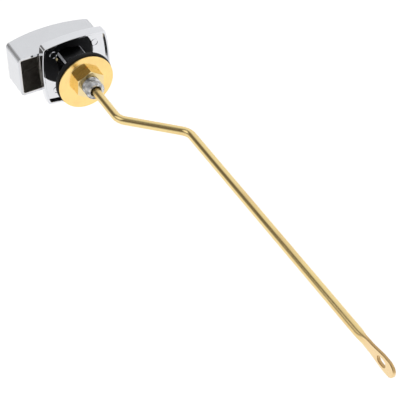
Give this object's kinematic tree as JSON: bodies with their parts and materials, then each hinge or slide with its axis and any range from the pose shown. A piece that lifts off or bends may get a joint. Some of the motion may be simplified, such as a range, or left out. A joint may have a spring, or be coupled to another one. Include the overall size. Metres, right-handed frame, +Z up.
{
  "type": "toilet tank trip lever",
  "caption": "Side-mount flush lever: hollow chrome handle, square escutcheon with threaded shank, rubber and brass washers, hex nut, and a joggled brass arm with a slotted flat end.",
  "frame": {"origin": "on the shaft axis, in the plane where the escutcheon's rim meets the outside of the tank wall", "axes": "+Y along the shaft into the tank, towards the arm's slotted tip; +X towards the handle's free end; +Z up"},
  "size_m": [0.0607, 0.2954, 0.04],
  "materials": {
    "chrome_casting": "polished chrome plate on a zinc casting",
    "rod_brass": "drawn brass rod, lightly tarnished",
    "bright_brass": "bright stamped and turned brass",
    "black_rubber": "matt moulded rubber",
    "white_nylon": "natural nylon",
    "zinc_steel": "zinc plated steel",
    "spring_steel": "dark spring steel"
  },
  "bodies": {
    "mounting": {"escutcheon": "chrome_casting", "shank_bush": "white_nylon", "thrust_washer": "white_nylon"},
    "lever": {"handle": "chrome_casting", "handle_set_screw": "zinc_steel", "lever_arm": "rod_brass", "push_on_ring": "spring_steel"},
    "clamp_washers": {"rubber_washer": "black_rubber", "brass_washer": "bright_brass"},
    "nut": {"clamp_nut": "bright_brass"}
  },
  "joints": [
    {"name": "handle_turn", "type": "hinge", "parent": "mounting", "child": "lever", "pos_m": [0, 0, 0], "axis": [0, 1, 0], "range_deg": [0, 40]},
    {"name": "clamp_travel", "type": "slide", "parent": "mounting", "child": "clamp_washers", "axis": [0, 1, 0], "range_m": [-0.0025, 0.0065]},
    {"name": "nut_turn", "type": "hinge", "parent": "clamp_washers", "child": "nut", "pos_m": [0, 0.0152, 0], "axis": [0, 1, 0], "range_deg": [-1680, 650]}
  ],
  "couplings": [
    {"joint": "nut_turn", "follows": "clamp_travel", "rad_per_m": -4488}
  ]
}
